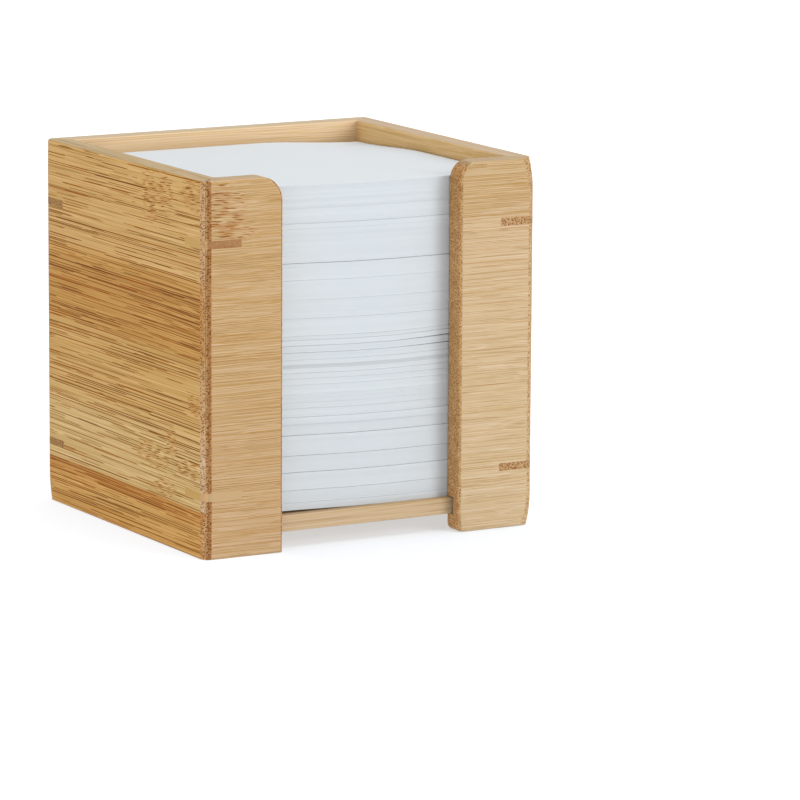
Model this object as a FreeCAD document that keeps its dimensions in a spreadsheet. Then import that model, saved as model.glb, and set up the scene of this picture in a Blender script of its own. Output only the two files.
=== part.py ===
"""Open note box of mitred bamboo boards, with a full stack of square notes.

Frame: millimetres, +Z up, the front faces -Y and the origin is on the table,
under the middle of the box. The box is sized around its notes.
"""
import FreeCAD, Part
import os
import Sketcher

SIZES = (
    ("note_size", 90.0, "side of one square note"),
    ("note_pitch", 0.11, "one sheet with the air above it"),
    ("block_sheets", 100, "sheets in one block of the stack"),
    ("block_count", 9, "blocks in a full stack"),
    ("side_room", 10.0, "pocket width beyond the notes"),
    ("depth_room", 3.0, "pocket depth beyond the notes"),
    ("rim_room", 4.8, "rim above a full stack"),
    ("right_gap", 1.0, "notes to the right board"),
    ("front_gap", 1.0, "notes to the stiles"),
    ("wall", 7.0, "thickness of the upright boards"),
    ("stile_width", 26.6, "front stile, outer face to free edge"),
    ("stile_top_radius", 7.3, "free upper corner of the left stile"),
    ("right_top_radius", 5.6, "free upper corner of the right stile"),
    ("stile_foot_radius", 0.4, "free lower corner of the left stile"),
    ("right_foot_radius", 2.2, "free lower corner of the right stile"),
    ("corner_radius", 3.0, "upright outer corners of the box"),
    ("stile_round", 1.1, "sanded outer edges of the stiles"),
    ("outer_round", 0.8, "sanded outer edges of the sides and back"),
    ("inner_round", 0.5, "sanded inner edges"),
    ("base_rise", 5.2, "table to the underside of the base board"),
    ("base_thickness", 5.0, "base board"),
    ("base_round", 0.4, "front edges of the base board"),
    ("groove_depth", 3.8, "groove that holds the base board"),
    ("groove_play", 0.3, "groove height beyond the base board"),
    ("base_side_play", 0.6, "base board to the end of a side or back groove"),
    ("base_front_play", 1.5, "base board to the end of a stile's groove"),
    ("key_thickness", 2.4, "corner key and its saw cut"),
    ("key_cover", 1.5, "key leg short of two walls, so the cut stays out of the pocket"),
    ("key_inset", 19.1, "middle of a key to the nearer end of the board"),
    ("cut_over", 1.0, "run of a cutter past the board"),
)

doc = FreeCAD.newDocument("NoteBox")
sheet = doc.addObject("Spreadsheet::Sheet", "Sizes")
for row, (alias, number, meaning) in enumerate(SIZES, start=1):
    sheet.set(f"A{row}", meaning)
    sheet.set(f"B{row}", str(number))
    sheet.setAlias(f"B{row}", alias)
doc.recompute()

WIDTH = "(Sizes.note_size + Sizes.side_room + 2 * Sizes.wall)"
DEPTH = "(Sizes.note_size + Sizes.depth_room + 2 * Sizes.wall)"
BLOCK_HEIGHT = "(Sizes.block_sheets * Sizes.note_pitch)"
STACK_HEIGHT = f"(Sizes.block_count * {BLOCK_HEIGHT})"
BASE_TOP = "(Sizes.base_rise + Sizes.base_thickness)"
HEIGHT = f"({BASE_TOP} + {STACK_HEIGHT} + Sizes.rim_room)"
KEY_LEG = "(2 * Sizes.wall - Sizes.key_cover)"
KEY_LOW = "(Sizes.key_inset - Sizes.key_thickness / 2)"
KEY_SPACING = f"({HEIGHT} - 2 * Sizes.key_inset)"

NEAR = 1e-4
subparts = []


def value(text):
    """Number that an expression gives."""
    return float(sheet.evalExpression(text))


def origin_feature(body, role):
    return next(item for item in body.Origin.OriginFeatures if item.Role == role)


def new_body(label):
    body = doc.addObject("PartDesign::Body", label)
    body.Label = label
    subparts.append(body)
    return body


def bind(item, **bindings):
    """Tie properties to the sheet; two underscores stand for a dot."""
    for name, text in bindings.items():
        item.setExpression(name.replace("__", "."), text)


def place(item, x="0", y="0", z="0", turn=0):
    """Set where a sub-part stands, turned about the upright axis."""
    item.Placement.Rotation = FreeCAD.Rotation(FreeCAD.Vector(0, 0, 1), turn)
    bind(item, Placement__Base__x=x, Placement__Base__y=y, Placement__Base__z=z)


def outline_sketch(body, name, role, outlines, lift=None):
    """Closed outlines of straight lines whose corners follow the sheet."""
    sketch = body.newObject("Sketcher::SketchObject", name)
    sketch.AttachmentSupport = [(origin_feature(body, role), "")]
    sketch.MapMode = "FlatFace"
    if lift:
        bind(sketch, AttachmentOffset__Base__z=lift)
    for corners in outlines:
        first = sketch.GeometryCount
        points = [FreeCAD.Vector(value(across), value(along), 0) for across, along in corners]
        for start, end in zip(points, points[1:] + points[:1]):
            sketch.addGeometry(Part.LineSegment(start, end), False)
        for index, (across, along) in enumerate(corners):
            line = first + index
            following = first + (index + 1) % len(corners)
            sketch.addConstraint(Sketcher.Constraint("Coincident", line, 2, following, 1))
            for kind, text in (("DistanceX", across), ("DistanceY", along)):
                rule = Sketcher.Constraint(kind, -1, 1, line, 1, value(text))
                number = sketch.addConstraint(rule)
                sketch.setExpression(f"Constraints[{number}]", text)
    doc.recompute()
    return sketch


def rectangle(left, right, low, high):
    return [(left, low), (right, low), (right, high), (left, high)]


def pad(body, name, sketch, length):
    feature = body.newObject("PartDesign::Pad", name)
    feature.Profile = sketch
    bind(feature, Length=length)
    doc.recompute()
    return feature


def cut_through(body, name, sketch):
    """Pocket that runs through the body both ways."""
    before = body.Shape.Volume
    feature = body.newObject("PartDesign::Pocket", name)
    feature.Profile = sketch
    feature.Type = "ThroughAll"
    feature.SideType = "Symmetric"
    doc.recompute()
    if body.Shape.Volume > before - NEAR:
        raise RuntimeError(f"{body.Label}: {name} cuts nothing")
    return feature


def round_edges(body, name, radius, wanted):
    """Fillet each edge of the tip whose middle point and curve are wanted."""
    base = body.Tip
    edges = []
    for number, edge in enumerate(base.Shape.Edges, start=1):
        middle = edge.valueAt((edge.FirstParameter + edge.LastParameter) / 2)
        if wanted(middle, edge):
            edges.append(f"Edge{number}")
    if not edges:
        raise RuntimeError(f"{body.Label}: {name} finds no edge")
    feature = body.newObject("PartDesign::Fillet", name)
    feature.Base = (base, edges)
    bind(feature, Radius=radius)
    doc.recompute()
    return feature


def is_upright(edge):
    return abs(abs(edge.tangentAt(edge.FirstParameter).z) - 1) < NEAR


def corner_cuts(end, sign):
    """Plan outlines at one mitred end: what the mitre takes off, and the key's saw cut.

    The outer corner is at x = end, y = 0, and sign is +1 where the board's end faces +X.
    """
    over = "Sizes.cut_over"
    beyond = (f"{end} + {sign} * {over}", f"-1 * {over}")
    mitre = [
        beyond,
        (f"{end} + {sign} * {over}", f"Sizes.wall + {over}"),
        (f"{end} - {sign} * (Sizes.wall + {over})", f"Sizes.wall + {over}"),
    ]
    saw_cut = [
        beyond,
        (f"{end} + {sign} * {over}", f"{KEY_LEG} + {over}"),
        (f"{end} - {sign} * ({KEY_LEG} + {over})", f"-1 * {over}"),
    ]
    return mitre, saw_cut


def cut_joints(body, cuts):
    """Mitres, base groove and key saw cuts of one upright board."""
    mitres = [mitre for mitre, saw_cut in cuts]
    saw_cuts = [saw_cut for mitre, saw_cut in cuts]
    cut_through(body, "Mitre", outline_sketch(body, "MitrePlan", "XY_Plane", mitres))
    groove = rectangle(
        "Sizes.wall - Sizes.groove_depth",
        "Sizes.wall + Sizes.cut_over",
        "Sizes.base_rise",
        f"{BASE_TOP} + Sizes.groove_play",
    )
    cut_through(body, "Groove", outline_sketch(body, "GrooveSection", "YZ_Plane", [groove]))
    before = body.Shape.Volume
    slots = body.newObject("PartDesign::Pocket", "KeySlots")
    slots.Profile = outline_sketch(body, "KeyPlan", "XY_Plane", saw_cuts, lift=KEY_LOW)
    slots.Reversed = True
    bind(slots, Length="Sizes.key_thickness")
    doc.recompute()
    rows = body.newObject("PartDesign::LinearPattern", "KeyRows")
    rows.Originals = [slots]
    rows.Direction = (origin_feature(body, "Z_Axis"), [""])
    rows.Occurrences = 2
    bind(rows, Length=KEY_SPACING)
    body.Tip = rows
    doc.recompute()
    if body.Shape.Volume > before - NEAR:
        raise RuntimeError(f"{body.Label}: the key slots cut nothing")


def full_board(label, length):
    """Side or back board: mitred at both ends, outer face on local y = 0."""
    body = new_body(label)
    half = f"{length} / 2"
    plan = rectangle(f"-1 * {half}", half, "0", "Sizes.wall")
    pad(body, "Board", outline_sketch(body, "BoardPlan", "XY_Plane", [plan]), HEIGHT)
    wall = value("Sizes.wall")
    round_edges(
        body, "Corners", "Sizes.corner_radius",
        lambda middle, edge: is_upright(edge) and abs(middle.y) < NEAR,
    )
    round_edges(
        body, "OuterRounds", "Sizes.outer_round",
        lambda middle, edge: not is_upright(edge) and abs(middle.y) < NEAR,
    )
    round_edges(
        body, "InnerRounds", "Sizes.inner_round",
        lambda middle, edge: not is_upright(edge) and abs(middle.y - wall) < NEAR,
    )
    cut_joints(body, [corner_cuts(f"-1 * {half}", -1), corner_cuts(half, 1)])
    return body


def front_stile(label, sign, top_radius, foot_radius):
    """Short front board with one mitred end at x = sign * width / 2 and one free end."""
    body = new_body(label)
    outer = f"{sign} * {WIDTH} / 2"
    free = f"{sign} * ({WIDTH} / 2 - Sizes.stile_width)"
    plan = rectangle(outer, free, "0", "Sizes.wall")
    pad(body, "Board", outline_sketch(body, "BoardPlan", "XY_Plane", [plan]), HEIGHT)
    wall = value("Sizes.wall")
    middle_height = value(HEIGHT) / 2
    outer_x = value(outer)
    free_x = value(free)

    def across_free_end(middle, edge):
        return abs(middle.x - free_x) < NEAR and abs(middle.y - wall / 2) < NEAR

    def outer_and_open(middle, edge):
        at_mitre = is_upright(edge) and abs(middle.x - free_x) > NEAR
        return abs(middle.y) < NEAR and not at_mitre

    round_edges(
        body, "Corner", "Sizes.corner_radius",
        lambda middle, edge: is_upright(edge) and abs(middle.y) < NEAR and abs(middle.x - outer_x) < NEAR,
    )
    round_edges(
        body, "TopCorner", top_radius,
        lambda middle, edge: across_free_end(middle, edge) and middle.z > middle_height,
    )
    round_edges(
        body, "FootCorner", foot_radius,
        lambda middle, edge: across_free_end(middle, edge) and middle.z < middle_height,
    )
    round_edges(body, "OuterRounds", "Sizes.stile_round", outer_and_open)
    round_edges(
        body, "InnerRounds", "Sizes.inner_round",
        lambda middle, edge: abs(middle.y - wall) < NEAR and abs(middle.x - outer_x) > NEAR,
    )
    cut_joints(body, [corner_cuts(outer, sign)])
    return body


def corner_key(label):
    """Glued key, flush with both faces of a rounded corner at the local origin."""
    body = new_body(label)
    plan = [("0", "0"), (KEY_LEG, "0"), ("0", KEY_LEG)]
    pad(body, "Key", outline_sketch(body, "KeyPlan", "XY_Plane", [plan]), "Sizes.key_thickness")
    round_edges(
        body, "Corner", "Sizes.corner_radius",
        lambda middle, edge: is_upright(edge) and abs(middle.x) < NEAR and abs(middle.y) < NEAR,
    )
    return body


def base_board():
    body = new_body("base_board")
    half = f"({WIDTH} / 2 - Sizes.wall + Sizes.groove_depth - Sizes.base_side_play)"
    front = f"-1 * ({DEPTH} / 2 - Sizes.wall + Sizes.groove_depth - Sizes.base_front_play)"
    back = f"{DEPTH} / 2 - Sizes.wall + Sizes.groove_depth - Sizes.base_side_play"
    plan = rectangle(f"-1 * {half}", half, front, back)
    pad(body, "Board", outline_sketch(body, "BoardPlan", "XY_Plane", [plan]), "Sizes.base_thickness")
    front_y = value(front)
    round_edges(
        body, "FrontRounds", "Sizes.base_round",
        lambda middle, edge: not is_upright(edge) and abs(middle.y - front_y) < NEAR,
    )
    place(body, z="Sizes.base_rise")


def note_stack():
    """Blocks of loose sheets, lying against the front and the right of the pocket."""
    left = f"{WIDTH} / 2 - Sizes.wall - Sizes.right_gap - Sizes.note_size"
    front = f"-1 * {DEPTH} / 2 + Sizes.wall + Sizes.front_gap"
    top_note = "Sizes.note_pitch"
    count = int(value("Sizes.block_count"))
    pieces = []
    for number in range(count):
        last = number == count - 1
        height = f"{BLOCK_HEIGHT} - {top_note}" if last else BLOCK_HEIGHT
        pieces.append((f"note_block_{number + 1}", height, f"{BASE_TOP} + {number} * {BLOCK_HEIGHT}"))
    pieces.append(("top_note", top_note, f"{BASE_TOP} + {STACK_HEIGHT} - {top_note}"))
    for label, height, low in pieces:
        block = doc.addObject("Part::Box", label)
        block.Label = label
        bind(block, Length="Sizes.note_size", Width="Sizes.note_size", Height=height)
        place(block, x=left, y=front, z=low)
        subparts.append(block)


place(full_board("left_side", DEPTH), x=f"-1 * {WIDTH} / 2", turn=-90)
place(full_board("right_side", DEPTH), x=f"{WIDTH} / 2", turn=90)
place(full_board("back_panel", WIDTH), y=f"{DEPTH} / 2", turn=180)
STILES = (
    ("front_stile_left", -1, "Sizes.stile_top_radius", "Sizes.stile_foot_radius"),
    ("front_stile_right", 1, "Sizes.right_top_radius", "Sizes.right_foot_radius"),
)
for stile, sign, top_radius, foot_radius in STILES:
    place(front_stile(stile, sign, top_radius, foot_radius), y=f"-1 * {DEPTH} / 2")

CORNERS = (
    ("front_left", -1, -1, 0),
    ("front_right", 1, -1, 90),
    ("back_right", 1, 1, 180),
    ("back_left", -1, 1, 270),
)
for corner, x_sign, y_sign, turn in CORNERS:
    for level, low in (("lower", KEY_LOW), ("upper", f"{KEY_LOW} + {KEY_SPACING}")):
        key = corner_key(f"key_{corner}_{level}")
        place(key, x=f"{x_sign} * {WIDTH} / 2", y=f"{y_sign} * {DEPTH} / 2", z=low, turn=turn)

base_board()
note_stack()
doc.recompute()

for item in doc.Objects:
    if "Invalid" in item.State or "Error" in item.State:
        raise RuntimeError(f"{item.Label} failed: {item.State}")
for item in subparts:
    shape = item.Shape
    if shape.isNull() or not shape.isValid() or len(shape.Solids) != 1:
        raise RuntimeError(f"{item.Label} is not one valid solid")

os.makedirs("parts", exist_ok=True)
for item in subparts:
    item.Shape.exportStep(f"parts/{item.Label}.step")
    print(f"{item.Label}: {item.Shape.Volume:.1f} mm3")
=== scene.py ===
"""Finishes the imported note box: bamboo boards, loose paper notes and a pale studio.

Metres, +Z up, the front faces -Y. A length written in millimetres is multiplied by MM, or the
words beside it say that it is in mm.
"""

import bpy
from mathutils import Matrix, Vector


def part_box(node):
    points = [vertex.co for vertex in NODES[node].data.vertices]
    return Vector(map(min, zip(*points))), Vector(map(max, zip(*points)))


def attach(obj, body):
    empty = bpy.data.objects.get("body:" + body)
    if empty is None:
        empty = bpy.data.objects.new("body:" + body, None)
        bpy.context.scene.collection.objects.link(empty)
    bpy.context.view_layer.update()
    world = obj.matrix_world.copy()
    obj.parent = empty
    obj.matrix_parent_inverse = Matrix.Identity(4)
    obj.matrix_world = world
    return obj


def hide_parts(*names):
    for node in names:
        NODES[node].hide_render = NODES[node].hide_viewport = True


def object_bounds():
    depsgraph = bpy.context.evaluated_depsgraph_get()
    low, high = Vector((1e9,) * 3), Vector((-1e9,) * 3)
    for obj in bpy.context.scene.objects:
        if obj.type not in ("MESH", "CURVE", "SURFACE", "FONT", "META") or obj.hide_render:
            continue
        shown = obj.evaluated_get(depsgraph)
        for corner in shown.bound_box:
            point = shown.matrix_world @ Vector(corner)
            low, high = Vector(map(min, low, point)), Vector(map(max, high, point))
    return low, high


bl_info = {
    "name": "Note box",
    "version": (1, 0, 0),
    "blender": (4, 5, 0),
    "location": "3D View > Sidebar > Note box",
    "description": "Bamboo boards, loose notes and a pale studio for a note box",
    "category": "Object",
}

import math
import random
from dataclasses import dataclass

import bmesh
import bpy
from mathutils import Matrix, Vector

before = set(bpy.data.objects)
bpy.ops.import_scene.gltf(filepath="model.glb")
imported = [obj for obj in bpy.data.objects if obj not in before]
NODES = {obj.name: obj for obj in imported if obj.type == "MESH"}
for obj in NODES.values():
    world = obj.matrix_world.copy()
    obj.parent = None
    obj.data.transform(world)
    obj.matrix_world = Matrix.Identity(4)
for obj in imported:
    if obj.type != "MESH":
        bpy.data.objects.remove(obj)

MM = 0.001
CAD_LOW, CAD_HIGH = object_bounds()

LEFT, RIGHT = CAD_LOW.x, CAD_HIGH.x
FRONT, BACK = CAD_LOW.y, CAD_HIGH.y
RIM = CAD_HIGH.z
TOP = RIM / MM
GAP_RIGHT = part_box("front_stile_right")[0].x
STACK_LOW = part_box("note_block_1")[0]
STACK_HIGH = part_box("top_note")[1]
BLOCKS = sorted(name for name in NODES if name.startswith("note_block_"))


def tint(red, green, blue):
    """A colour picked on a 0 to 255 screen scale, as light amounts."""
    def light(level):
        share = level / 255
        return share / 12.92 if share <= 0.04045 else ((share + 0.055) / 1.055) ** 2.4
    return (light(red), light(green), light(blue))


def between(place, start, full):
    """0 at start and 1 at full, with a soft start and end."""
    share = min(max((place - start) / (full - start), 0.0), 1.0)
    return share * share * (3 - 2 * share)


def along(stations, place):
    """Value between given stations (place, value), straight from one to the next."""
    if place <= stations[0][0]:
        return stations[0][1]
    for (low, first), (high, second) in zip(stations, stations[1:]):
        if place <= high:
            return first + (second - first) * (place - low) / (high - low)
    return stations[-1][1]


# ---------------------------------------------------------------- settings

class BambooFinish(bpy.types.PropertyGroup):
    """Colours of the bamboo boards, with the painted light on their upward faces, and how far their
    corners are sanded.
    """

    fibre: bpy.props.FloatVectorProperty(
        name="Fibre", description="Dark fibre bundles in the boards",
        subtype="COLOR", size=3, min=0, max=1, default=tint(118, 60, 0),
    )
    red_fibre: bpy.props.FloatVectorProperty(
        name="Red fibre", description="Redder fibre bundles",
        subtype="COLOR", size=3, min=0, max=1, default=tint(150, 78, 0),
    )
    # Painted light, not wear: the rim tones make the upward faces greyer and mostly darker, for how the
    # light falls on them.
    rim_painted_light: bpy.props.FloatVectorProperty(
        name="Rim tone", description="Dulls the upward faces of the left side, where the oil has worn",
        subtype="COLOR", size=3, min=0, max=2.0, default=(0.7, 0.85, 1.35),
    )
    stile_rim_painted_light: bpy.props.FloatVectorProperty(
        name="Stile rim tone", description="The same for the two stiles",
        subtype="COLOR", size=3, min=0, max=2.0, default=(0.94, 0.99, 1.08),
    )
    roughness: bpy.props.FloatProperty(
        name="Roughness", description="Thin matt oil on the sanded boards",
        subtype="FACTOR", min=0, max=1, default=0.5,
    )
    foot_sanding: bpy.props.FloatProperty(
        name="Foot sanding", description="Extra corner radius at the table",
        subtype="DISTANCE", unit="LENGTH", min=0, max=0.01, default=3.2 * MM,
    )
    rim_sanding: bpy.props.FloatProperty(
        name="Rim sanding", description="Extra corner radius at the rim",
        subtype="DISTANCE", unit="LENGTH", min=0, max=0.01, default=3.4 * MM,
    )
    sanded_height: bpy.props.FloatProperty(
        name="Sanded height", description="How far from the ends the corners are sanded",
        subtype="DISTANCE", unit="LENGTH", min=0.001, max=0.016, default=11 * MM,
    )


class NoteStack(bpy.types.PropertyGroup):
    """The loose notes in the pocket."""

    sheets: bpy.props.IntProperty(
        name="Sheets in a block", description="Notes in one block of the stack", min=1, default=100,
    )
    paper: bpy.props.FloatVectorProperty(
        name="Paper", description="Colour of the notes",
        subtype="COLOR", size=3, min=0, max=1, default=tint(202, 206.5, 209.5),
    )
    wander: bpy.props.FloatProperty(
        name="Wander", description="How far groups of notes lie out of line",
        subtype="DISTANCE", unit="LENGTH", min=0, max=0.0005, default=0.15 * MM,
    )
    jitter: bpy.props.FloatProperty(
        name="Jitter", description="How far one note lies out of line with its group",
        subtype="DISTANCE", unit="LENGTH", min=0, max=0.0002, default=0.035 * MM,
    )
    pushed: bpy.props.FloatProperty(
        name="Pushed forward", description="How far the stack is pushed against the stiles",
        subtype="DISTANCE", unit="LENGTH", min=0, max=0.0008, default=0.6 * MM,
    )
    droop: bpy.props.FloatProperty(
        name="Droop", description="Fall of the uppermost notes' back right corner",
        subtype="DISTANCE", unit="LENGTH", min=0, max=0.003, default=1.7 * MM,
    )


class Studio(bpy.types.PropertyGroup):
    """Table, lights and camera."""

    azimuth: bpy.props.FloatProperty(
        name="Azimuth", description="Camera's turn to the box's left of straight on",
        subtype="ANGLE", default=math.radians(29.673),
    )
    elevation: bpy.props.FloatProperty(
        name="Elevation", description="Camera's angle above the table",
        subtype="ANGLE", default=math.radians(10.5),
    )
    roll: bpy.props.FloatProperty(
        name="Roll", description="Camera's tilt sideways", subtype="ANGLE", default=math.radians(0.327),
    )
    distance: bpy.props.FloatProperty(
        name="Distance", description="Camera to the point it looks at",
        subtype="DISTANCE", unit="LENGTH", default=1692.47 * MM,
    )
    target: bpy.props.FloatVectorProperty(
        name="Target", description="Point that the camera looks at",
        subtype="TRANSLATION", unit="LENGTH", size=3, default=(41.786 * MM, 2.957 * MM, 31.045 * MM),
    )
    lens: bpy.props.FloatProperty(
        name="Lens", description="Focal length in millimetres", unit="CAMERA", min=10, default=242.437,
    )
    sky: bpy.props.FloatProperty(
        name="Sky", description="Strength of the white surround", min=0, default=0.62,
    )
    overhead: bpy.props.FloatProperty(
        name="Overhead", description="Power of the soft light above", unit="POWER", min=0, default=12.8,
    )
    window: bpy.props.FloatProperty(
        name="Window", description="Power of the soft light at the front right", unit="POWER",
        min=0, default=8.8,
    )
    # Painted shade: the table glows less at the gap under the notes than round the box.
    glow: bpy.props.FloatProperty(
        name="Table glow", description="Light given off by the white table at the gap", min=0, default=0.5,
    )
    near_glow: bpy.props.FloatProperty(
        name="Near glow", description="Light given off by the table round the box", min=0, default=0.66,
    )
    far_glow: bpy.props.FloatProperty(
        name="Far glow", description="Light given off by the table out of the lamps' reach",
        min=0, default=0.95,
    )
    floor: bpy.props.FloatVectorProperty(
        name="Floor", description="Colour of the table",
        subtype="COLOR", size=3, min=0, max=1, default=(0.44, 0.46, 0.48),
    )


# ---------------------------------------------------------------- material bench

class Bench:
    """Short calls that wire a material's nodes."""

    def __init__(self, name):
        self.material = bpy.data.materials.new(name)
        self.material.use_nodes = True
        self.tree = self.material.node_tree
        self.shader = self.tree.nodes["Principled BSDF"]

    def feed(self, socket, value):
        """Link a socket to another node's, or set its own value."""
        if isinstance(value, bpy.types.NodeSocket):
            self.tree.links.new(value, socket)
        else:
            socket.default_value = value

    def node(self, kind, feeds, **settings):
        made = self.tree.nodes.new(kind)
        for name, value in settings.items():
            setattr(made, name, value)
        for key, value in feeds.items():
            self.feed(made.inputs[key], value)
        return made

    def math(self, operation, first, second=0.0, third=0.0):
        feeds = {0: first, 1: second, 2: third}
        return self.node("ShaderNodeMath", feeds, operation=operation).outputs[0]

    def vector(self, operation, first, second=(0, 0, 0), third=(0, 0, 0)):
        feeds = {0: first, 1: second, 2: third}
        made = self.node("ShaderNodeVectorMath", feeds, operation=operation)
        return made.outputs["Value" if operation in ("DOT_PRODUCT", "LENGTH") else "Vector"]

    def join(self, first=0.0, second=0.0, third=0.0):
        return self.node("ShaderNodeCombineXYZ", {0: first, 1: second, 2: third}).outputs[0]

    def split(self, place):
        return self.node("ShaderNodeSeparateXYZ", {0: place}).outputs

    def spread(self, value, low, high, first=0.0, last=1.0, soft=True):
        """Map a value from low..high to first..last."""
        kind = "SMOOTHSTEP" if soft else "LINEAR"
        feeds = {"Value": value, "From Min": low, "From Max": high, "To Min": first, "To Max": last}
        return self.node("ShaderNodeMapRange", feeds, interpolation_type=kind).outputs[0]

    def within(self, chance, low, high):
        """A number from 0 to 1 as one from low to high."""
        return self.math("MULTIPLY_ADD", chance, high - low, low)

    def blend(self, share, first, second, how="MIX"):
        made = self.node("ShaderNodeMix", {}, data_type="RGBA", blend_type=how)
        self.feed(made.inputs["Factor"], share)
        self.feed(made.inputs["A"], self.opaque(first))
        self.feed(made.inputs["B"], self.opaque(second))
        return made.outputs["Result"]

    @staticmethod
    def opaque(colour):
        return colour if isinstance(colour, bpy.types.NodeSocket) else (*colour[:3], 1.0)

    def toned(self, colour, tone, share=1.0):
        """A colour multiplied by a tone, as far as share says."""
        return self.blend(share, colour, tone, "MULTIPLY")

    def ramp(self, value, stops):
        """Colour at a value, between two or more stops (place, colour)."""
        made = self.node("ShaderNodeValToRGB", {0: value})
        points = made.color_ramp.elements
        while len(points) < len(stops):
            points.new(0.5)
        for point, (place, colour) in zip(points, stops):
            point.position = place
            point.color = (*colour[:3], 1.0)
        return made.outputs["Color"]

    def noise(self, place, detail=2.0, roughness=0.5):
        feeds = {"Vector": place, "Scale": 1.0, "Detail": detail, "Roughness": roughness}
        return self.node("ShaderNodeTexNoise", feeds).outputs["Fac"]

    def centred(self, noise):
        """A noise as a departure from its middle."""
        return self.math("SUBTRACT", noise, 0.5)

    def cells(self, place):
        """Distance to the nearest cell's middle, and a number from 0 to 1 of that cell's own."""
        made = self.node("ShaderNodeTexVoronoi", {"Vector": place, "Scale": 1.0})
        apart = self.node("ShaderNodeSeparateColor", {0: made.outputs["Color"]})
        return made.outputs["Distance"], apart.outputs[0]

    def chance(self, first, second, third):
        """Three numbers from 0 to 1 that belong to the three given ones."""
        feeds = {"Vector": self.join(first, second, third)}
        made = self.node("ShaderNodeTexWhiteNoise", feeds, noise_dimensions="3D")
        return self.node("ShaderNodeSeparateColor", {0: made.outputs["Color"]}).outputs

    def place(self):
        """Object coordinates in millimetres."""
        where = self.node("ShaderNodeTexCoord", {}).outputs["Object"]
        return self.node("ShaderNodeVectorMath", {0: where, "Scale": 1 / MM}, operation="SCALE").outputs[0]

    def stretch(self, place, lengths, shift=(0, 0, 0)):
        """Divide each part of a place by a length in mm, so a pattern is that long there, and shift it."""
        return self.vector("MULTIPLY_ADD", place, tuple(1 / length for length in lengths), shift)

    def coat(self, colour, roughness, gloss, relief, strength, depth):
        """Give the shader its colour, gloss and fine relief, and hand over the material."""
        self.feed(self.shader.inputs["Base Color"], colour)
        self.feed(self.shader.inputs["Roughness"], roughness)
        self.shader.inputs["Specular IOR Level"].default_value = gloss
        bump = self.node("ShaderNodeBump", {"Strength": strength, "Distance": depth, "Height": relief})
        self.feed(self.shader.inputs["Normal"], bump.outputs["Normal"])
        return self.material


# ---------------------------------------------------------------- bamboo grain

ALONG_X, ALONG_Y = 0.0, math.pi / 2

# Millimetres that the grain moves by from one seed to the next.
SEED_SHIFT = (37.7, 5.3, 11.9)
# How far the grain lines drift up and down, and how crooked they are at a knot, in mm.
DRIFT, KNOT_DRIFT = 2.5, 0.6

# Fibre bundles: distance from row to row and length with the gap, in mm, and how strongly they show.
BUNDLES = ((0.95, 130, 0.82), (0.85, 60, 0.75), (0.8, 22, 0.56))
# Their thickness as a share of the distance from row to row.
BUNDLE_THICKNESS = 0.34
# The same for the short specks at a knot, with their number among the layers, the share of them
# that show, and how far they rise as they run.
SPECK_PITCH, SPECK_LENGTH, SPECK_STRENGTH, SPECK_THICKNESS = 0.72, 6, 0.75, 0.46
SPECK_SEED, SPECK_DENSE, SPECK_LEAN = 5, 0.85, 0.08
# Depth in mm after which a row has other bundles, and by how many bundles a row may be shifted.
CANE_LAYER, ROW_SHIFT = 2.3, 9.0

# Tones that multiply a board's own colour.
WARM_CLOUD = (0.88, 0.8, 0.64)
KNOT_RUST = (0.86, 0.72, 0.6)
DARK_LINE = (0.56, 0.43, 0.2)
PALE_LINE = (1.26, 1.38, 1.85)
BUNDLE_HALO = (0.9, 0.78, 0.3)
END_BLOTCH = (0.78, 0.7, 0.62)
PLAIN_END = (0.8, 0.8, 0.8)
SIDE_END = (1.03, 1.06, 1.6)


@dataclass
class CutGrain:
    """How the cut grain looks on a board's rounds and ends.

    A turn is 0 on a face along the grain and 1 on one square to it.
    tones: where the cut grain begins on a round, and where it faces out. change: turns between
    which the first gives way to the second. start: turn at which a round begins to show it.
    dots and dot_size: strength of its dots, and their size in mm.
    free_end: +1 or -1 where the board's end facing that way is a free one, which shows it later.
    free_tones: tones of the free end's sanded edge and of its face.
    """

    tones: tuple = (PLAIN_END, PLAIN_END)
    change: tuple = (0.52, 0.66)
    start: float = 0.12
    dots: float = 0.6
    dot_size: float = 0.5
    free_end: int = 0
    free_tones: tuple = ()


def grain_place(bench, grain, seed):
    """Millimetres along the grain, across it (upwards) and through the board.

    The first is the same on every board, the second has the grain moved by its seed.
    """
    turned = bench.node("ShaderNodeMapping", {"Vector": bench.place(), "Rotation": (0, 0, -grain)})
    run, depth, height = bench.split(turned.outputs[0])
    fixed = bench.join(run, height, depth)
    return fixed, bench.vector("ADD", fixed, tuple(seed * shift for shift in SEED_SHIFT))


def grain_sway(bench, place, wobble):
    """The slow drift of the grain lines, and their wobble in mm."""
    drift = bench.centred(bench.noise(bench.stretch(place, (150, 24, 24)), 0))
    ripple = bench.centred(bench.noise(bench.stretch(place, (14, 3, 3), (2, 8, 5)), 1))
    drift = bench.math("MULTIPLY", drift, DRIFT)
    drift = bench.math("MULTIPLY_ADD", ripple, 2 * wobble, drift)
    return bench.join(0, drift, drift)


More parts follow.
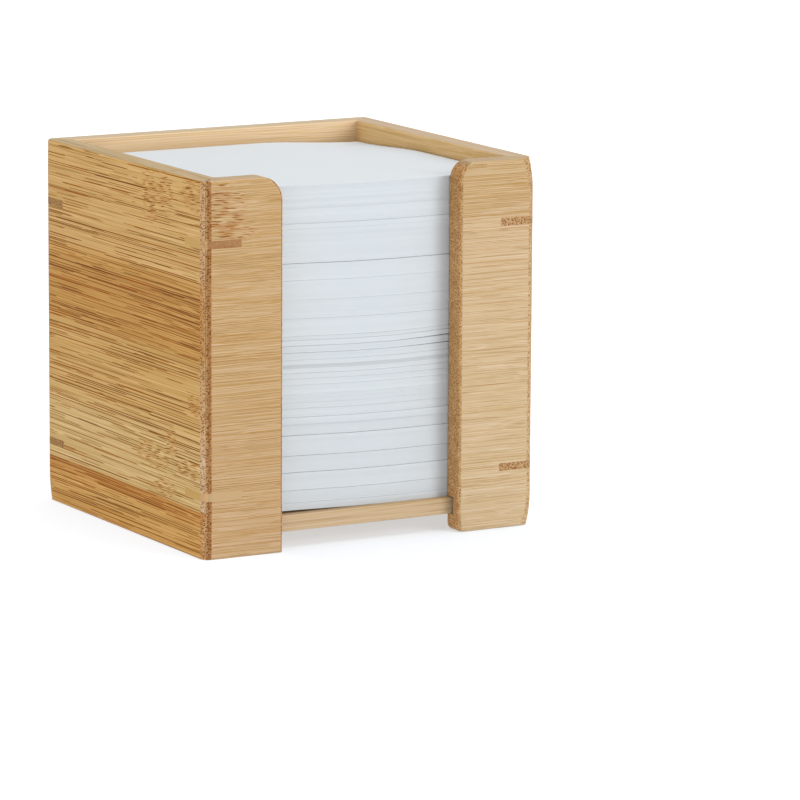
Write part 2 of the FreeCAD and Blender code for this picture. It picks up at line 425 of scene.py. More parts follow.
def strands(bench, place, pitch, length, thickness, dense, seed):
    """Thin fibre bundles in level rows: 1 inside, 0.5 at their edge.

    pitch: from row to row in mm. length: a bundle with the gap after it. thickness: share of the
    pitch. dense: share of the bundles that show.
    """
    run, height, depth = bench.split(place)
    row = bench.math("DIVIDE", height, pitch)
    row_number = bench.math("FLOOR", row)
    layer = bench.math("FLOOR", bench.math("DIVIDE", depth, CANE_LAYER))
    phase, rise, _ = bench.chance(row_number, layer, seed)
    run = bench.math("MULTIPLY_ADD", phase, ROW_SHIFT, bench.math("DIVIDE", run, length))
    number = bench.math("FLOOR", run)
    kept, reach, girth = bench.chance(row_number, bench.math("ADD", layer, 0.5 + seed), number)

    passed = bench.math("SUBTRACT", run, number)
    left = bench.math("SUBTRACT", bench.within(reach, 0.55, 0.95), passed)
    taper = min(0.3, 2.5 / length)
    point = bench.spread(bench.math("MINIMUM", passed, left), 0.0, taper)
    half = bench.math("MULTIPLY", bench.within(girth, 0.6, 1.0), thickness / 2)
    half = bench.math("MAXIMUM", bench.math("MULTIPLY", half, point), 0.001)

    middle = bench.math("ADD", row_number, bench.within(rise, 0.25, 0.75))
    away = bench.math("ABSOLUTE", bench.math("SUBTRACT", row, middle))
    outer, inner = bench.math("MULTIPLY", half, 1.5), bench.math("MULTIPLY", half, 0.5)
    body = bench.spread(away, outer, inner, soft=False)
    body = bench.math("MULTIPLY", body, bench.math("LESS_THAN", kept, dense))
    return bench.math("MULTIPLY", body, bench.math("GREATER_THAN", point, 0.0))


def fibre_bundles(bench, place, dense, fine):
    """Dark bundles of three lengths, more of them in some places than in others."""
    cluster = bench.noise(bench.stretch(place, (90, 1.5, 1.5), (5, 1, 9)), 1)
    dense = bench.math("MULTIPLY", dense, bench.spread(cluster, 0.3, 0.68, 0.75, 1.25, soft=False))
    bundles = 0.0
    for number, (pitch, length, strength) in enumerate(BUNDLES, 1):
        layer = strands(bench, place, pitch * fine, length, BUNDLE_THICKNESS, dense, number)
        bundles = bench.math("MAXIMUM", bundles, bench.math("MULTIPLY", layer, strength))
    return bundles


def knot_mask(bench, place, knots):
    """1 where the cane had a joint, soft and ragged at its edge."""
    ragged = bench.noise(bench.stretch(place, (3, 1.4, 1.4)), 3)
    shown = 0.0
    for (middle, height), (half_run, half_rise) in knots:
        away = bench.vector("SUBTRACT", place, (middle, height, 0))
        away = bench.vector("MULTIPLY", away, (1 / half_run, 1 / half_rise, 0))
        distance = bench.vector("LENGTH", away)
        distance = bench.math("MULTIPLY_ADD", ragged, 1.1, bench.math("SUBTRACT", distance, 0.55))
        shown = bench.math("MAXIMUM", shown, bench.spread(distance, 1.15, 0.7))
    return shown


def knot_wave(bench, place, knot):
    """The crooked grain at a knot."""
    crooked = bench.centred(bench.noise(bench.stretch(place, (3.2, 1.6, 1.6), (4, 4, 4)), 1))
    crooked = bench.math("MULTIPLY", crooked, KNOT_DRIFT)
    return bench.join(0, bench.math("MULTIPLY", crooked, knot))


def knot_specks(bench, place, wave, knot, bundles):
    """Short leaning specks in place of the long bundles at a knot."""
    lean = bench.join(0, bench.math("MULTIPLY", bench.split(place)[0], SPECK_LEAN))
    place = bench.vector("ADD", bench.vector("ADD", place, lean), wave)
    speck = strands(bench, place, SPECK_PITCH, SPECK_LENGTH, SPECK_THICKNESS, SPECK_DENSE, SPECK_SEED)
    speck = bench.math("MULTIPLY", speck, SPECK_STRENGTH)
    speck = bench.math("MAXIMUM", speck, bench.math("MULTIPLY", bundles, 0.5))
    feeds = {"Factor": knot, "A": bundles, "B": speck}
    return bench.node("ShaderNodeMix", feeds, data_type="FLOAT").outputs["Result"]


def knot_rust(bench, place, knot):
    """How rusty the cane is at a knot."""
    rusty = bench.noise(bench.stretch(place, (4.5, 1.0, 1.0), (8, 2, 6)), 1)
    return bench.math("MULTIPLY", bench.spread(rusty, 0.42, 0.62, 0, 0.9), knot)


def end_facing(bench, normal, grain, cut):
    """How far a face or round turns across the grain and towards the free end, and the cut grain."""
    facing = bench.vector("DOT_PRODUCT", normal, (math.cos(grain), math.sin(grain), 0))
    turn = bench.math("ABSOLUTE", facing)
    toward = bench.math("MULTIPLY", facing, cut.free_end)
    full = cut.start + 0.12
    if not cut.free_end:
        return turn, toward, bench.spread(turn, cut.start, full)
    mitred = bench.spread(toward, -cut.start, -full)
    return turn, toward, bench.math("MAXIMUM", mitred, bench.spread(toward, 0.22, 0.4))


def end_colour(bench, place, ground, cut, turn, toward):
    """Colour of the cut grain, with its dots and with blotches between them."""
    tone = bench.blend(bench.spread(turn, *cut.change), *cut.tones)
    if cut.free_tones:
        free_tone = bench.blend(bench.spread(toward, 0.45, 0.7), *cut.free_tones)
        tone = bench.blend(bench.math("GREATER_THAN", toward, 0.0), tone, free_tone)
    colour = bench.toned(ground, tone)
    if not cut.dots:
        return colour
    blotch = bench.noise(bench.stretch(place, (3, 3, 3)), 1)
    colour = bench.toned(colour, END_BLOTCH, bench.spread(blotch, 0.4, 0.7, 0, 0.5))
    distance, own = bench.cells(bench.stretch(place, (0.85, cut.dot_size, cut.dot_size)))
    dot = bench.math("MULTIPLY", bench.spread(distance, 0.54, 0.38), bench.spread(own, 0.0, 0.6, 0.4, 1.0))
    fibre = bpy.context.scene.note_box_bamboo.fibre
    return bench.blend(bench.math("MULTIPLY", dot, cut.dots), colour, fibre)


def bamboo(
    name, grain, planks, seed, cut=CutGrain(), fibres=1.0, lines=1.0, fine=1.0,
    dense=((0.0, 0.5), (TOP, 1.0)), knots=(), rim_painted_light=None, wobble=0.0,
):
    """Sanded bamboo whose fibres run at the angle grain about the upright axis.

    planks: (height in mm, colour) from the foot up, blended from one to the next.
    cut: its CutGrain. The rim tone is painted light: it multiplies the upward faces in place of the
    general one.
    fibres and lines: strength of the dark bundles and of the fine lines. fine: how broad they are.
    dense: (height in mm, share of bundles that show), blended likewise.
    knots: ((along, height), (half run, half rise)) in mm. wobble: of the grain lines, in mm.
    """
    finish = bpy.context.scene.note_box_bamboo
    bench = Bench(name)
    fixed, place = grain_place(bench, grain, seed)
    sway = grain_sway(bench, place, wobble)
    place = bench.vector("ADD", place, sway)
    level = bench.math("DIVIDE", bench.split(bench.vector("ADD", fixed, sway))[1], TOP)
    ground = bench.ramp(level, [(height / TOP, shade) for height, shade in planks])
    dense = bench.ramp(level, [(height / TOP, (share,) * 3) for height, share in dense])
    if knots:
        knot = knot_mask(bench, fixed, knots)
        wave = knot_wave(bench, fixed, knot)
        place = bench.vector("ADD", place, wave)

    cloud = bench.noise(bench.stretch(place, (140, 2, 2), (3, 7, 1)), 2)
    colour = bench.toned(ground, WARM_CLOUD, bench.spread(cloud, 0.4, 0.7, 0, 0.14 * lines))
    if knots:
        colour = bench.toned(colour, KNOT_RUST, knot_rust(bench, fixed, knot))
    thread = bench.noise(bench.stretch(place, (110, 0.33 * fine, 0.33 * fine), (9, 2, 4)), 2, 0.8)
    colour = bench.toned(colour, DARK_LINE, bench.spread(thread, 0.48, 0.3, 0, lines, soft=False))
    colour = bench.toned(colour, PALE_LINE, bench.spread(thread, 0.52, 0.7, 0, lines, soft=False))

    normal = bench.node("ShaderNodeNewGeometry", {}).outputs["Normal"]
    upward = bench.split(normal)[2]
    bundles = bench.math("MULTIPLY", fibre_bundles(bench, place, dense, fine), fibres)
    if knots:
        bundles = knot_specks(bench, fixed, wave, knot, bundles)
    bundles = bench.math("MULTIPLY", bundles, bench.spread(upward, 0.85, 0.5))
    colour = bench.toned(colour, BUNDLE_HALO, bench.spread(bundles, 0.0, 0.6, 0, 0.9))
    hue = bench.noise(bench.stretch(place, (40, 1.6, 1.6), (1, 6, 3)), 0)
    fibre_colour = bench.blend(bench.spread(hue, 0.42, 0.62), finish.fibre, finish.red_fibre)
    colour = bench.blend(bench.spread(bundles, 0.25, 0.65, 0, 0.96), colour, fibre_colour)

    turn, toward, shown = end_facing(bench, normal, grain, cut)
    colour = bench.blend(shown, colour, end_colour(bench, fixed, ground, cut, turn, toward))
    # Painted light: the upward faces are toned greyer and mostly darker, for how the light falls on them.
    colour = bench.toned(colour, rim_painted_light or finish.rim_painted_light, bench.spread(upward, 0.55, 0.9))

    roughness = bench.math("MULTIPLY_ADD", thread, 0.16, finish.roughness - 0.08)
    sunk = bench.math("MULTIPLY", bundles, 0.6)
    relief = bench.math("SUBTRACT", bench.math("MULTIPLY", thread, 0.5), sunk)
    return bench.coat(colour, roughness, 0.06, relief, strength=0.35, depth=0.06 * MM)


# ---------------------------------------------------------------- bamboo of each piece

# Planks of the two sides from the foot up, as heights in mm and screen colours, and the share of
# bundles that show there.
SIDE_PLANKS = (
    (0.0, (208, 156, 82)), (9.0, (211, 162, 89)), (14.0, (193, 130, 56)),
    (14.4, (213, 177, 114)), (30.0, (216, 181, 119)), (40.0, (211, 168, 100)),
    (58.0, (206, 162, 93)), (61.0, (197, 146, 74)), (76.0, (195, 143, 72)),
    (82.0, (203, 153, 82)), (85.0, (212, 169, 104)), (TOP, (211, 168, 101)),
)
SIDE_DENSE = (
    (0.0, 0.38), (14.0, 0.48), (14.4, 0.24), (34.0, 0.28), (42.0, 0.34), (60.0, 0.46), (80.0, 0.6),
    (86.0, 0.31),
)


def side_bamboo(name, seed, knots, paler_cane_and_painted_light=(1.0, 1.0, 1.0), fibres=1.0, rim_painted_light=None):
    """Broad-grained boards of the two sides: one dark cane between lighter ones."""
    planks = []
    for height, shade in SIDE_PLANKS:
        planks.append((height, [level * share for level, share in zip(tint(*shade), paler_cane_and_painted_light)]))
    cut = CutGrain(tones=(SIDE_END, SIDE_END), start=0.04, dots=0.75)
    return bamboo(
        name, ALONG_Y, planks, seed, cut, fibres=fibres, lines=fibres, dense=SIDE_DENSE,
        knots=knots, rim_painted_light=rim_painted_light,
    )


def left_side_bamboo():
    knots = [
        ((-46, 109), (7, 5)), ((-28, 108), (5, 7)), ((-18, 106), (5, 8)), ((-19, 100), (4, 3)),
        ((-32, 32), (4, 5)), ((-20, 27), (11, 4)), ((-28, 18), (8, 3)), ((-43, 26), (8, 3)),
        ((-47, 46), (4, 4)),
    ]
    return side_bamboo("Bamboo, left side", 0, knots)


def right_side_bamboo():
    """The right side, of plainer cane, made paler partly as paler cane and partly as painted light on its
    inner face, which lies in the box's shade.
    """
    knots = [((22, 70), (8, 9)), ((16, 36), (6, 10)), ((30, 58), (5, 5))]
    # Its wash is partly paler cane and partly painted light on its shaded inner face.
    return side_bamboo(
        "Bamboo, right side", 3, knots, paler_cane_and_painted_light=(1.22, 1.36, 1.85), fibres=0.5, rim_painted_light=(0.63, 0.7, 1.0),
    )


def stile_bamboo(name, seed, planks, dense, cut, knots=()):
    """Fine straight-grained boards of the front."""
    finish = bpy.context.scene.note_box_bamboo
    return bamboo(
        name, ALONG_X, planks, seed, cut, fibres=0.5, lines=0.85, fine=0.62, dense=dense,
        knots=knots, rim_painted_light=finish.stile_rim_painted_light, wobble=0.22,
    )


def left_stile_bamboo():
    planks = [(0.0, tint(186, 154, 116)), (52.0, tint(184, 153, 112)), (TOP, tint(184, 154, 114))]
    dense = [(0.0, 0.3), (TOP, 1.0)]
    cut = CutGrain(tones=((0.74, 0.57, 0.42), (1.12, 1.03, 0.95)), dots=0.95, free_end=1)
    knots = [((-50, 105), (7, 9)), ((-46, 98), (6, 3))]
    return stile_bamboo("Bamboo, left stile", 1, planks, dense, cut, knots)


def right_stile_bamboo():
    """The right stile has a darker plank at its top."""
    planks = [
        (0.0, tint(194, 169, 133)), (50.0, tint(190, 164, 127)), (96.4, tint(190, 163, 127)),
        (97.0, tint(184, 156, 118)), (TOP, tint(184, 156, 118)),
    ]
    dense = [(96.4, 0.14), (97.0, 0.8)]
    cut = CutGrain(
        tones=((0.98, 0.94, 0.86), (0.92, 0.84, 0.72)), dots=0.72, dot_size=0.42,
        free_end=-1, free_tones=((0.98, 0.92, 0.8), (1.2, 0.98, 0.72)),
    )
    return stile_bamboo("Bamboo, right stile", 2, planks, dense, cut)


def back_bamboo():
    # Painted light: the back grows paler towards the rim, lighting its inner face, which lies in the box's
    # shade.
    planks = [(0.0, tint(206, 168, 116)), (40.0, tint(212, 176, 126)), (TOP, tint(224, 195, 157))]
    return bamboo("Bamboo, back", ALONG_X, planks, 5, fibres=0.3, lines=0.45, rim_painted_light=(0.72, 0.77, 0.8))


def base_bamboo():
    shade = tint(191, 165, 131)
    planks = [(0.0, shade), (TOP, shade)]
    return bamboo("Bamboo, base", ALONG_X, planks, 9, fibres=0.3, lines=0.5, rim_painted_light=(0.92, 0.9, 0.86))


def key_bamboo(name, grain, seed, shade, tones, dots):
    """Plain bamboo of a corner key, whose grain runs straight through a corner."""
    cut = CutGrain(tones=tones, change=(0.78, 0.9), dots=dots, dot_size=0.52)
    return bamboo(name, grain, [(0.0, shade), (TOP, shade)], seed, cut, fibres=0.0, lines=0.25)


def key_finishes():
    """Each key's finish, by the corner and level that it is glued in."""
    olive = tint(203, 161, 94)
    pale_end, brown_end = (0.8, 0.9, 1.45), (0.57, 0.5, 0.655)
    right_tones = ((0.95, 0.86, 0.76), (0.92, 0.87, 0.85))
    back_tone = (0.84, 0.82, 0.72)
    lower = key_bamboo("Bamboo, left lower key", ALONG_Y, 6, olive, (SIDE_END, pale_end), 0.0)
    upper = key_bamboo("Bamboo, left upper key", ALONG_Y, 6, olive, (SIDE_END, brown_end), 0.35)
    right = key_bamboo("Bamboo, right keys", ALONG_Y, 7, tint(184, 154, 112), right_tones, 1.0)
    back = key_bamboo("Bamboo, back keys", ALONG_X, 8, tint(190, 148, 92), (back_tone, back_tone), 0.8)
    return {
        "front_left_lower": lower, "front_left_upper": upper,
        "front_right_lower": right, "front_right_upper": right,
        "back_left_lower": back, "back_left_upper": back,
        "back_right_lower": back, "back_right_upper": back,
    }


# ---------------------------------------------------------------- boards

# Each board's piece and the slot of its finish.
BOARDS = {
    "left_side": ("left_board", "bamboo_side"),
    "right_side": ("right_board", "bamboo_side"),
    "back_panel": ("back_board", "bamboo_side"),
    "front_stile_left": ("left_stile", "bamboo_front"),
    "front_stile_right": ("right_stile", "bamboo_front"),
}

# Radii that the CAD solids have at the box's upright corners and at the stiles' free edges.
CORNER_RADIUS = 3.0 * MM
EDGE_RADIUS = 1.1 * MM
LEFT_FRONT, LEFT_BACK = (LEFT, FRONT), (LEFT, BACK)
RIGHT_FRONT, RIGHT_BACK = (RIGHT, FRONT), (RIGHT, BACK)
CORNERS = {
    "left_side": (LEFT_FRONT, LEFT_BACK),
    "right_side": (RIGHT_FRONT, RIGHT_BACK),
    "back_panel": (LEFT_BACK, RIGHT_BACK),
    "front_stile_left": (LEFT_FRONT,),
    "front_stile_right": (RIGHT_FRONT,),
}
# How much of the sanding an upright corner has, at its foot and at its rim.
SANDED = {LEFT_BACK: (0.7, 0.1), RIGHT_FRONT: (1.0, 1.0), RIGHT_BACK: (0.8, 0.5)}
# Level and upright cuts through a sanded corner, and how the cuts and the sanding gather at its end.
SANDING_RINGS, SANDING_FACETS = 9, 4
RING_GATHER, SANDING_FADE = 1.5, 2.4

# Points this close are one, points this close to a cut lie on it, and faces that meet at less
# than this angle are one round.
SAME_POINT, ON_CUT, ROUND_ANGLE = 0.001 * MM, 0.002 * MM, math.radians(28)


def smooth_rounds(piece):
    """Smooth shading on rounds, with flat faces kept flat."""
    for face in piece.data.polygons:
        face.use_smooth = True
    piece.data.set_sharp_from_angle(angle=ROUND_ANGLE)
    even = piece.modifiers.new("Even normals", "WEIGHTED_NORMAL")
    even.keep_sharp = True


def finish_piece(piece, body, material, node):
    """Give a piece its material, and say what it rides on and which CAD solid it replaces."""
    piece.data.materials.clear()
    piece.data.materials.append(material)
    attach(piece, body)
    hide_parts(node)


def new_piece(name, bm):
    mesh = bpy.data.meshes.new(name)
    bm.to_mesh(mesh)
    bm.free()
    piece = bpy.data.objects.new(name, mesh)
    bpy.context.scene.collection.objects.link(piece)
    return piece


def merged_copy(node):
    """The CAD solid's mesh with its loose triangles joined."""
    bm = bmesh.new()
    bm.from_mesh(NODES[node].data)
    bmesh.ops.remove_doubles(bm, verts=bm.verts, dist=SAME_POINT)
    return bm


def slice_at(bm, point, normal):
    """Score a flat line round the solid, so that its faces can bend there."""
    everything = [*bm.verts, *bm.edges, *bm.faces]
    bmesh.ops.bisect_plane(bm, geom=everything, dist=ON_CUT, plane_co=point, plane_no=normal)


def sand_corner(bm, corner, inward, radius, extra, end, height):
    """Round an upright edge further towards one end of it, as hand sanding leaves it.

    corner: (x, y) of the edge before it was rounded. inward: +1 or -1 in x and y, into the board.
    end: height of that end. height: how far from it the sanding goes, upwards or downwards.
    """
    for ring in range(1, SANDING_RINGS + 1):
        slice_at(bm, (0, 0, end + height * (ring / SANDING_RINGS) ** RING_GATHER), (0, 0, 1))
    for facet in range(1, SANDING_FACETS + 1):
        reach = radius + extra * facet / SANDING_FACETS
        slice_at(bm, (corner[0] + inward[0] * reach, 0, 0), (1, 0, 0))
        slice_at(bm, (0, corner[1] + inward[1] * reach, 0), (0, 1, 0))
    for vert in bm.verts:
        share = (vert.co.z - end) / height
        if share >= 1:
            continue
        wanted = radius + extra * (1 - max(share, 0)) ** SANDING_FADE
        away = [wanted - (vert.co[axis] - corner[axis]) * inward[axis] for axis in (0, 1)]
        distance = math.hypot(*away)
        if min(away) > 0 and distance > wanted:
            for axis in (0, 1):
                vert.co[axis] = corner[axis] + inward[axis] * (wanted - away[axis] * wanted / distance)


def board_piece(node, material):
    """One upright board with its sanded corners."""
    finish = bpy.context.scene.note_box_bamboo
    bm = merged_copy(node)
    reach = finish.sanded_height
    for corner in CORNERS[node]:
        if corner in SANDED:
            foot, rim = SANDED[corner]
            inward = [-math.copysign(1, place) for place in corner]
            sand_corner(bm, corner, inward, CORNER_RADIUS, foot * finish.foot_sanding, 0.0, reach)
            sand_corner(bm, corner, inward, CORNER_RADIUS, rim * finish.rim_sanding, RIM, -reach)
    if node == "front_stile_right":
        sand_corner(bm, (GAP_RIGHT, FRONT), (1, 1), EDGE_RADIUS, finish.foot_sanding / 2, 0.0, reach / 2)
    name, slot = BOARDS[node]
    piece = new_piece(name, bm)
    smooth_rounds(piece)
    finish_piece(piece, "box", material, node)


class NOTEBOX_OT_boards(bpy.types.Operator):
    """Dress the five upright boards in bamboo and sand their corners"""

    bl_idname = "notebox.boards"
    bl_label = "Upright boards"

    def execute(self, context):
        board_piece("left_side", left_side_bamboo())
        board_piece("right_side", right_side_bamboo())
        board_piece("back_panel", back_bamboo())
        board_piece("front_stile_left", left_stile_bamboo())
        board_piece("front_stile_right", right_stile_bamboo())
        return {"FINISHED"}


class NOTEBOX_OT_keys(bpy.types.Operator):
    """Dress the glued corner keys, whose grain runs across the corner"""

    bl_idname = "notebox.keys"
    bl_label = "Corner keys"

    def execute(self, context):
        for place, material in key_finishes().items():
            NODES[f"key_{place}"].material_slots[0].material = material
        return {"FINISHED"}


class NOTEBOX_OT_base(bpy.types.Operator):
    """Dress the base board"""

    bl_idname = "notebox.base"
    bl_label = "Base board"

    def execute(self, context):
        NODES["base_board"].material_slots[0].material = base_bamboo()
        return {"FINISHED"}


# ---------------------------------------------------------------- notes

# Heights in mm above the table where the stack parts a little, and how much.
PARTINGS = [
    (12.3, 0.05), (12.9, 0.02), (16.1, 0.08), (21.5, 0.09), (26.5, 0.09), (32.7, 0.08), (36.2, 0.02),
    (38.2, 0.03), (40.9, 0.05), (42.6, 0.04), (45.3, 0.02), (48.0, 0.04), (49.9, 0.05), (51.6, 0.04),
    (53.0, 0.02), (54.1, 0.03), (55.6, 0.04), (57.8, 0.08), (59.9, 0.09), (61.6, 0.05), (62.9, 0.05),
    (68.2, 0.05), (70.6, 0.02), (74.0, 0.03), (79.9, 0.04), (85.1, 0.1), (94.0, 0.02), (95.7, 0.03),
    (97.3, 0.03), (102.0, 0.03),
]
# How far the stack rises at the left of the gap, and at its right, by height in mm.
LEFT_RISE = [(10.2, 0.75), (13.0, 0.85), (54.0, 1.15), (86.0, 0.9), (98.0, 0.75), (109.2, 0.4)]
RIGHT_RISE = [
    (49.0, 0.0), (53.6, 0.3), (57.75, 0.3), (57.85, 0.5), (59.85, 0.5), (59.95, 0.78),
    (61.55, 0.55), (61.65, 0.64), (66.0, 0.0),
]
# The rise at the left is this many times as much at the stack's left end.
LEFT_CURL = 1.25

# Notes that lie a little further back, between these heights in mm, and are made greyer by painted shade.
GREY_BAND = (53.0, 54.2)
GREY_SLIP = 0.25 * MM

# A note's own tone, how far it varies from group to group and from note to note, how much painted shade
# darkens the grey notes, and the tone of the top note, lighter as painted light on the stack's top.
NOTE_TONE, TONE_SPREAD, GREY_PAINTED_SHADE, TOP_PAINTED_LIGHT = 0.36, 0.06, 0.8, 0.68

# Largest turn of a group of notes in degrees, and the least gap between two notes.
GROUP_TURN = 0.1
NOTE_GAP = 0.002 * MM

# Lines across a note, as shares of its width and depth: coarse in the stack, fine on top.
COLUMNS = (0.0, 0.21, 0.42, 0.58, 0.7, 0.8, 0.9, 1.0)
ROWS = (0.0, 0.45, 1.0)
FINE = tuple(step / 24 for step in range(25))


def stack_levels(count):
    """Height of each note's underside above the stack's foot, the group it lies in, and its thickness."""
    total = STACK_HIGH.z - STACK_LOW.z
    waiting = [(height * MM - STACK_LOW.z, gap * MM) for height, gap in PARTINGS]
    thickness = (total - sum(gap for _, gap in waiting)) / count
    levels, groups = [0.0], []
    group = 0
    for _ in range(count):
        groups.append(group)
        level = levels[-1] + thickness
        if waiting and level >= waiting[0][0]:
            level += waiting.pop(0)[1]
            group += 1
        levels.append(level)
    return levels, groups, thickness


def stack_lift(height, x, y):
    """How far a note lies above its flat place. All in mm."""
    left = LEFT_CURL * between(x, 9.0, -37.0) * between(y, 20.0, -40.0)
    right = between(x, 14.0, 33.0) * between(y, 5.0, -45.0)
    lift = along(LEFT_RISE, height) * left + along(RIGHT_RISE, height) * right
    droop = bpy.context.scene.note_box_notes.droop / MM
    return lift - droop * between(x, 12.0, 49.0) * between(y, 2.0, 44.0) * between(height, 70.0, 110.0)


def note_sheet(bm, columns, rows, low, high):
    """Append one flat note, from its underside low to its top high (functions of x and y)."""
    size = STACK_HIGH - STACK_LOW
    made = bmesh.ops.create_grid(bm, x_segments=len(columns) - 1, y_segments=len(rows) - 1, size=1.0)
    under = made["verts"]
    for vert in under:
        column = round((vert.co.x + 1) / 2 * (len(columns) - 1))
        row = round((vert.co.y + 1) / 2 * (len(rows) - 1))
        vert.co.x = STACK_LOW.x + size.x * columns[column]
        vert.co.y = STACK_LOW.y + size.y * rows[row]
    faces = note_faces(under)
    bmesh.ops.reverse_faces(bm, faces=faces)
    raised = bmesh.ops.extrude_face_region(bm, geom=faces, use_keep_orig=True)
    over = [item for item in raised["geom"] if isinstance(item, bmesh.types.BMVert)]
    for vert in under:
        vert.co.z = low(vert.co.x, vert.co.y)
    for vert in over:
        vert.co.z = high(vert.co.x, vert.co.y)
    return under + over


def note_faces(verts):
    """The faces at some vertices, each once."""
    return list(dict.fromkeys(face for vert in verts for face in vert.link_faces))


class LooseStack:
    """Where each loose note lies, and how to model it there."""

    def __init__(self, settings):
        self.settings = settings
        self.count = len(BLOCKS) * settings.sheets
        self.levels, self.groups, self.thickness = stack_levels(self.count)
        self.draw = random.Random(90)
        self.shifts = [self.group_shift() for _ in range(self.groups[-1] + 1)]

    def group_shift(self):
        """Slip in x and y, turn and tone of one group of notes."""
        slip_x = self.draw.uniform(-1, 1) * self.settings.wander
        slip_y = self.draw.uniform(-1, 1) * self.settings.wander
        turn = math.radians(self.draw.uniform(-GROUP_TURN, GROUP_TURN))
        return slip_x, slip_y, turn, self.draw.uniform(-1, 1)

    def underside(self, number, x, y):
        height = STACK_LOW.z + self.levels[number]
        return height + stack_lift(height / MM, x / MM, y / MM) * MM

    def add_note(self, bm, tone, number, columns, rows):
        """One note of the stack, with its own small slip and tone."""
        def low(x, y):
            return self.underside(number, x, y)

        def high(x, y):
            return min(low(x, y) + self.thickness, self.underside(number + 1, x, y) - NOTE_GAP)

        verts = note_sheet(bm, columns, rows, low, high)
        slip_x, slip_y, turn, shade = self.shifts[self.groups[number]]
        slip_x += self.draw.uniform(-1, 1) * self.settings.jitter
        slip_y += self.draw.uniform(-1, 1) * self.settings.jitter - self.settings.pushed
        own = NOTE_TONE + TONE_SPREAD * shade + TONE_SPREAD * self.draw.uniform(-1, 1)
        height = (STACK_LOW.z + self.levels[number]) / MM
        # Painted shade: the grey band's notes are darkened besides lying further back.
        if GREY_BAND[0] <= height <= GREY_BAND[1]:
            slip_y += GREY_SLIP
            own -= GREY_PAINTED_SHADE
        # Painted light: the top note is made lighter, as the top of the stack is lit.
        if number == self.count - 1:
            own = TOP_PAINTED_LIGHT
        middle = (STACK_LOW + STACK_HIGH) / 2
        turned = Matrix.Translation(middle) @ Matrix.Rotation(turn, 4, "Z") @ Matrix.Translation(-middle)
        slipped = Matrix.Translation((slip_x, slip_y, 0)) @ turned
        bmesh.ops.transform(bm, matrix=slipped, verts=verts)
        for face in note_faces(verts):
            face[tone] = own

    def piece(self, name, numbers, columns, rows):
        """The notes of these numbers as one piece."""
        bm = bmesh.new()
        tone = bm.faces.layers.float.new("tone")
        for number in numbers:
            self.add_note(bm, tone, number, columns, rows)
        return new_piece(name, bm)


def lay_notes(settings):
    """Place every note: nine blocks, then the top note by itself."""
    stack = LooseStack(settings)
    top = stack.count - 1
    paper = note_paper()
    for block, node in enumerate(BLOCKS):
        first = block * settings.sheets
        numbers = range(first, min(first + settings.sheets, top))
        piece = stack.piece(f"notes_{block + 1}", numbers, COLUMNS, ROWS)
        finish_piece(piece, "note_stack", paper, node)
    piece = stack.piece("top_sheet", [top], FINE, FINE)
    smooth_rounds(piece)
    finish_piece(piece, "top_note", paper, "top_note")


def note_paper():
    """Smooth white office paper; each note has a tone of its own, with painted light in the top note's and
    painted shade in the grey band's.
    """
    settings = bpy.context.scene.note_box_notes
    bench = Bench("Note paper")
    place = bench.place()
    own = bench.node("ShaderNodeAttribute", {}, attribute_name="tone").outputs["Fac"]
    cloud = bench.noise(bench.stretch(place, (26, 26, 2.2)), 2)
    fibre = bench.noise(bench.stretch(place, (0.5, 0.5, 0.5)), 3, 0.6)
    shade = bench.math("MULTIPLY_ADD", own, 0.16, 0.92)
    shade = bench.math("MULTIPLY_ADD", bench.centred(cloud), 0.03, shade)
    shade = bench.math("MULTIPLY_ADD", bench.centred(fibre), 0.02, shade)
    colour = bench.toned(settings.paper, bench.join(shade, shade, shade))
    roughness = bench.spread(fibre, 0.2, 0.8, 0.82, 0.92)
    return bench.coat(colour, roughness, 0.3, fibre, strength=0.15, depth=0.01 * MM)


class NOTEBOX_OT_notes(bpy.types.Operator):
    """Lay the loose notes in their pocket, one by one"""

    bl_idname = "notebox.notes"
    bl_label = "Loose notes"

    def execute(self, context):
        lay_notes(context.scene.note_box_notes)
        return {"FINISHED"}


# ---------------------------------------------------------------- studio

TABLE_HALF = 6.0
TABLE_LIGHT = (0.97, 1.0, 1.04)
# The middle of the painted shade on the table by the gap under the notes, where it glows less, and the
# distances from it and from the box between which the table's glow changes.
PAINTED_SHADE_MIDDLE = (12 * MM, FRONT, 0)
PAINTED_SHADE_REACH = (35 * MM, 65 * MM)
FAR_TABLE = (0.3, 1.3)

# Each lamp's place and diameter.
OVERHEAD_LAMP = ((0.15, -0.2, 1.5), 1.6)
WINDOW_LAMP = ((0.72, -1.2, 0.55), 0.7)
# The camera's sensor in mm, and how far it sees in metres.
SENSOR_WIDTH, VIEW_DEPTH = 36, 20


class NOTEBOX_OT_studio(bpy.types.Operator):
    """Set the pale table, the soft light and the camera"""

    bl_idname = "notebox.studio"
    bl_label = "Studio"

    def execute(self, context):
        studio = context.scene.note_box_studio
        lay_table(studio)
        light_studio(studio)
        aim_camera(studio)
        return {"FINISHED"}


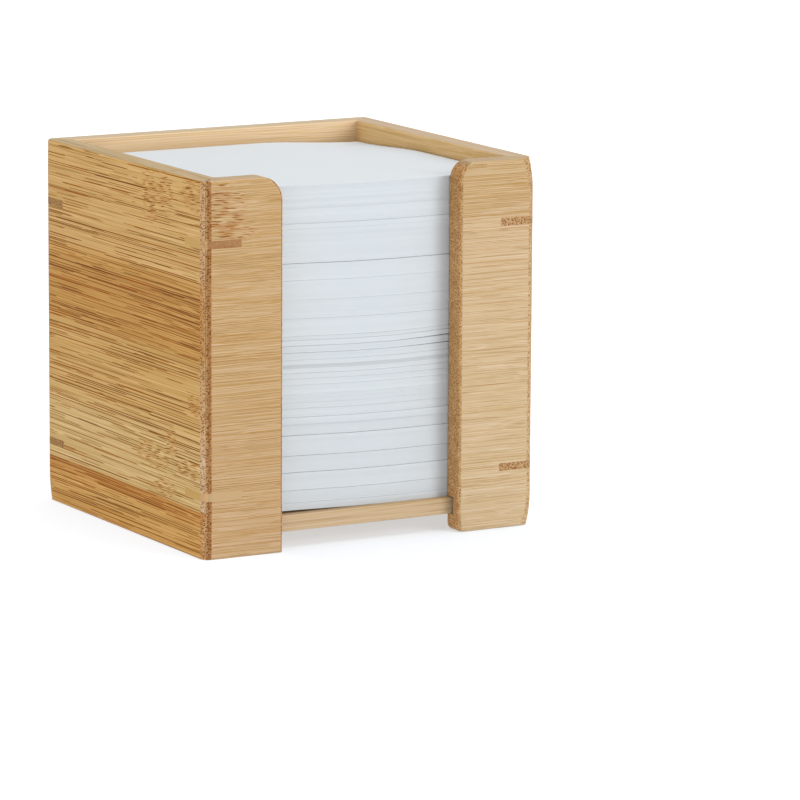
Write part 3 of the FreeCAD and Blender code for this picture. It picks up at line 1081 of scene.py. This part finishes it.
def lay_table(studio):
    """A white table that gives off a little light of its own, more of it far from the box, and less at the
    gap under the notes, which paints a shade there.
    """
    bm = bmesh.new()
    bmesh.ops.create_grid(bm, x_segments=1, y_segments=1, size=TABLE_HALF)
    table = new_piece("table_top", bm)
    bench = Bench("Pale table")
    bench.shader.inputs["Base Color"].default_value = (*studio.floor, 1.0)
    bench.shader.inputs["Roughness"].default_value = 0.9
    bench.shader.inputs["Specular IOR Level"].default_value = 0.1
    bench.shader.inputs["Emission Color"].default_value = (*TABLE_LIGHT, 1.0)
    where = bench.node("ShaderNodeTexCoord", {}).outputs["Object"]
    from_gap = bench.vector("LENGTH", bench.vector("SUBTRACT", where, PAINTED_SHADE_MIDDLE))
    near = bench.spread(from_gap, *PAINTED_SHADE_REACH, studio.glow, studio.near_glow)
    from_box = bench.vector("LENGTH", where)
    far = bench.spread(from_box, *FAR_TABLE, 0, studio.far_glow - studio.near_glow)
    bench.feed(bench.shader.inputs["Emission Strength"], bench.math("ADD", near, far))
    table.data.materials.append(bench.material)


def light_studio(studio):
    world = bpy.data.worlds.new("White surround")
    world.use_nodes = True
    surround = world.node_tree.nodes["Background"]
    surround.inputs["Color"].default_value = (1.0, 1.0, 1.0, 1.0)
    surround.inputs["Strength"].default_value = studio.sky
    bpy.context.scene.world = world
    hang_lamp("Overhead", *OVERHEAD_LAMP, studio.overhead)
    hang_lamp("Window", *WINDOW_LAMP, studio.window)


def hang_lamp(name, place, size, power):
    """A round soft light that faces the box."""
    lamp = bpy.data.lights.new(name, "AREA")
    lamp.shape = "DISK"
    lamp.size = size
    lamp.energy = power
    holder = bpy.data.objects.new(name, lamp)
    holder.location = place
    holder.rotation_euler = (-holder.location).to_track_quat("-Z", "Y").to_euler()
    bpy.context.scene.collection.objects.link(holder)


def aim_camera(studio):
    camera = bpy.data.cameras.new("Camera")
    camera.sensor_width = SENSOR_WIDTH
    camera.lens = studio.lens
    camera.clip_end = VIEW_DEPTH
    forward = Vector((
        math.sin(studio.azimuth) * math.cos(studio.elevation),
        math.cos(studio.azimuth) * math.cos(studio.elevation),
        -math.sin(studio.elevation),
    ))
    level = Vector((math.cos(studio.azimuth), -math.sin(studio.azimuth), 0))
    upward = level.cross(forward)
    across = level * math.cos(studio.roll) + upward * math.sin(studio.roll)
    holder = bpy.data.objects.new("Camera", camera)
    turn = Matrix((across, across.cross(forward), -forward)).transposed().to_4x4()
    holder.matrix_world = Matrix.Translation(Vector(studio.target) - forward * studio.distance) @ turn
    bpy.context.scene.collection.objects.link(holder)
    bpy.context.scene.camera = holder
    bpy.context.scene.view_settings.view_transform = "Standard"


# ---------------------------------------------------------------- add-on

SETTINGS = {"note_box_bamboo": BambooFinish, "note_box_notes": NoteStack, "note_box_studio": Studio}
STEPS = (NOTEBOX_OT_boards, NOTEBOX_OT_keys, NOTEBOX_OT_base, NOTEBOX_OT_notes, NOTEBOX_OT_studio)


class NOTEBOX_PT_panel(bpy.types.Panel):
    """Steps that dress the note box"""

    bl_idname = "NOTEBOX_PT_panel"
    bl_label = "Note box"
    bl_space_type = "VIEW_3D"
    bl_region_type = "UI"
    bl_category = "Note box"

    def draw(self, context):
        for step in STEPS:
            self.layout.operator(step.bl_idname)
        for group in SETTINGS:
            settings = getattr(context.scene, group)
            column = self.layout.column()
            for name in settings.__annotations__:
                column.prop(settings, name)


def register():
    for kind in (*SETTINGS.values(), *STEPS, NOTEBOX_PT_panel):
        bpy.utils.register_class(kind)
    for name, kind in SETTINGS.items():
        setattr(bpy.types.Scene, name, bpy.props.PointerProperty(type=kind))


def unregister():
    for name in SETTINGS:
        delattr(bpy.types.Scene, name)
    for kind in (NOTEBOX_PT_panel, *reversed(STEPS), *SETTINGS.values()):
        bpy.utils.unregister_class(kind)


def main():
    register()
    bpy.ops.notebox.boards()
    bpy.ops.notebox.keys()
    bpy.ops.notebox.base()
    bpy.ops.notebox.notes()
    bpy.ops.notebox.studio()


if __name__ == "__main__":
    main()
